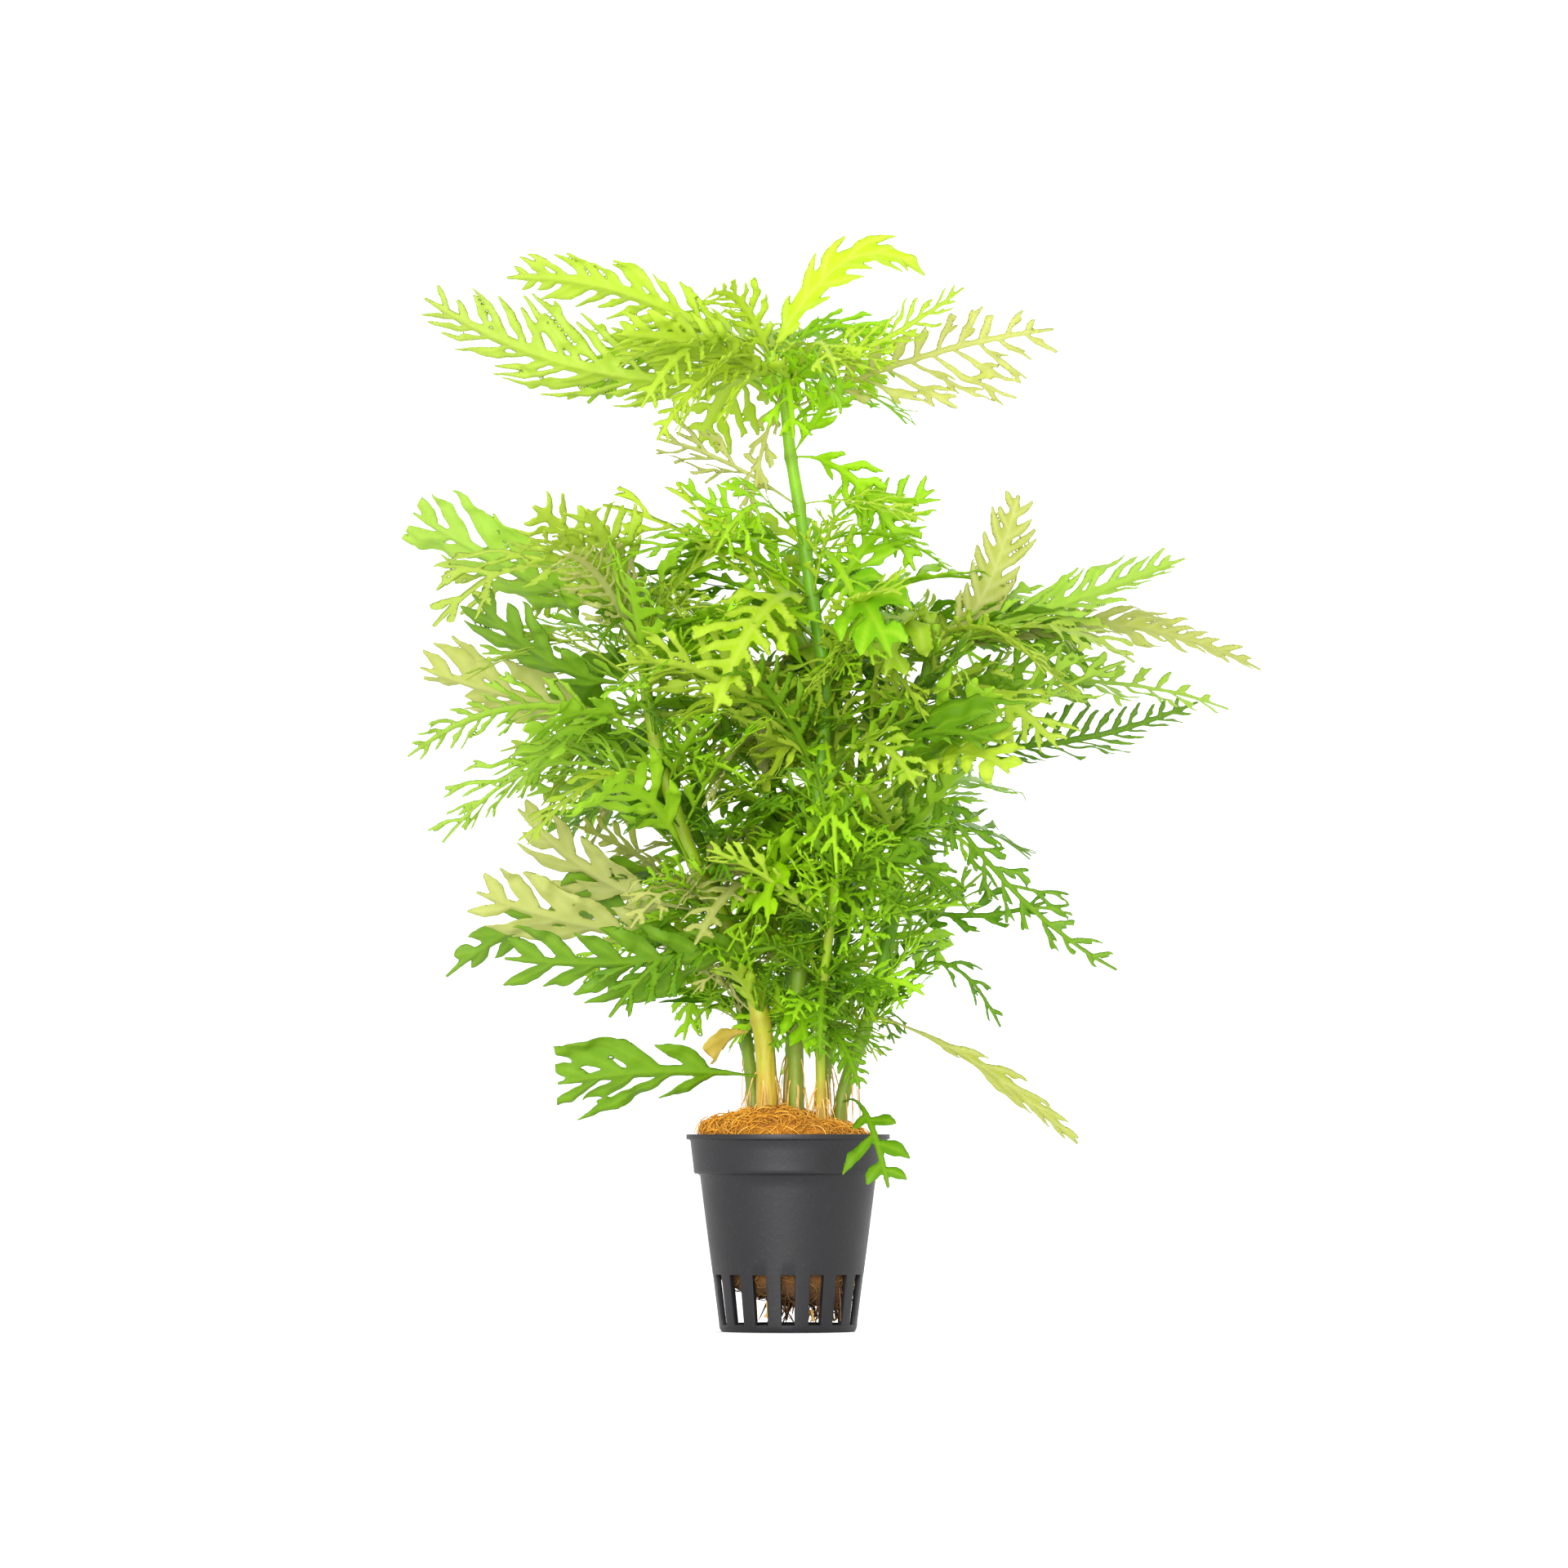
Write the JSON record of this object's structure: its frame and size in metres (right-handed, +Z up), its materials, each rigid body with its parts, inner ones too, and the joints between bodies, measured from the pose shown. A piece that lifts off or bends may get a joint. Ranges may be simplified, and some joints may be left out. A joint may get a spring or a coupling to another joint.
{
  "type": "potted water wisteria",
  "caption": "Bunch of water wisteria with finely lobed leaves, rooted in a fibre plug in a small slotted net pot.",
  "frame": {"origin": "middle of the pot's underside, on the surface it stands on", "axes": "+Z up, -Y to the front, +X to the right seen from the front"},
  "size_m": [0.21, 0.1385, 0.2702],
  "materials": {
    "pot_plastic": "satin",
    "medium_fibre": "matte",
    "root": "matte",
    "stem_green": "satin",
    "stem_tan": "satin",
    "leaf_lime": "satin",
    "leaf_green": "satin",
    "leaf_deep": "satin",
    "leaf_pale": "satin",
    "leaf_brown": "matte"
  },
  "bodies": {
    "root": {"growing_medium": "medium_fibre", "leaf_back_left_low": "leaf_deep", "leaf_back_low": "leaf_deep", "leaf_back_up": "leaf_green", "leaf_bottom_left": "leaf_deep", "leaf_bowed_left": "leaf_deep", "leaf_bright_right": "leaf_lime", "leaf_broad_lower_left": "leaf_deep", "leaf_crown_arching": "leaf_lime", "leaf_crown_back": "leaf_lime", "leaf_crown_back_right": "leaf_green", "leaf_crown_hanging": "leaf_green", "leaf_crown_high_left": "leaf_lime", "leaf_crown_long_left": "leaf_lime", "leaf_crown_pale_right": "leaf_pale", "leaf_crown_right": "leaf_lime", "leaf_crown_short_left": "leaf_lime", "leaf_crown_white": "leaf_pale", "leaf_curled_left": "leaf_deep", "leaf_dark_right": "leaf_deep", "leaf_falling_left": "leaf_green", "leaf_far_right": "leaf_pale", "leaf_far_right_lower": "leaf_green", "leaf_fine_left": "leaf_pale", "leaf_high_left": "leaf_green", "leaf_high_left_front": "leaf_pale", "leaf_high_left_inner": "leaf_green", "leaf_high_right": "leaf_green", "leaf_hooked_right": "leaf_deep", "leaf_khaki_lower": "leaf_pale", "leaf_khaki_upper": "leaf_pale", "leaf_lance": "leaf_pale", "leaf_left_front": "leaf_green", "leaf_middle_front_left": "leaf_lime", "leaf_middle_front_right": "leaf_deep", "leaf_old_leaf": "leaf_brown", "leaf_over_rim": "leaf_deep", "leaf_pale_left": "leaf_pale", "leaf_right_back": "leaf_green", "leaf_right_front": "leaf_lime", "leaf_sweeping_left": "leaf_green", "leaf_thin_right": "leaf_deep", "leaf_trailing_low_right": "leaf_pale", "leaf_trailing_right": "leaf_deep", "leaf_upright_right": "leaf_pale", "leaf_waist_back": "leaf_green", "leaf_waist_front": "leaf_lime", "leaf_waist_up_left": "leaf_green", "leaf_waist_up_right": "leaf_green", "net_pot": "pot_plastic", "root_front_left": "root", "root_front_right": "root", "root_right": "root", "stem_back_left": "stem_green", "stem_back_right": "stem_green", "stem_front": "stem_tan", "stem_left": "stem_tan", "stem_main": "stem_green", "stem_middle": "stem_green", "stem_right": "stem_green"}
  },
  "joints": []
}
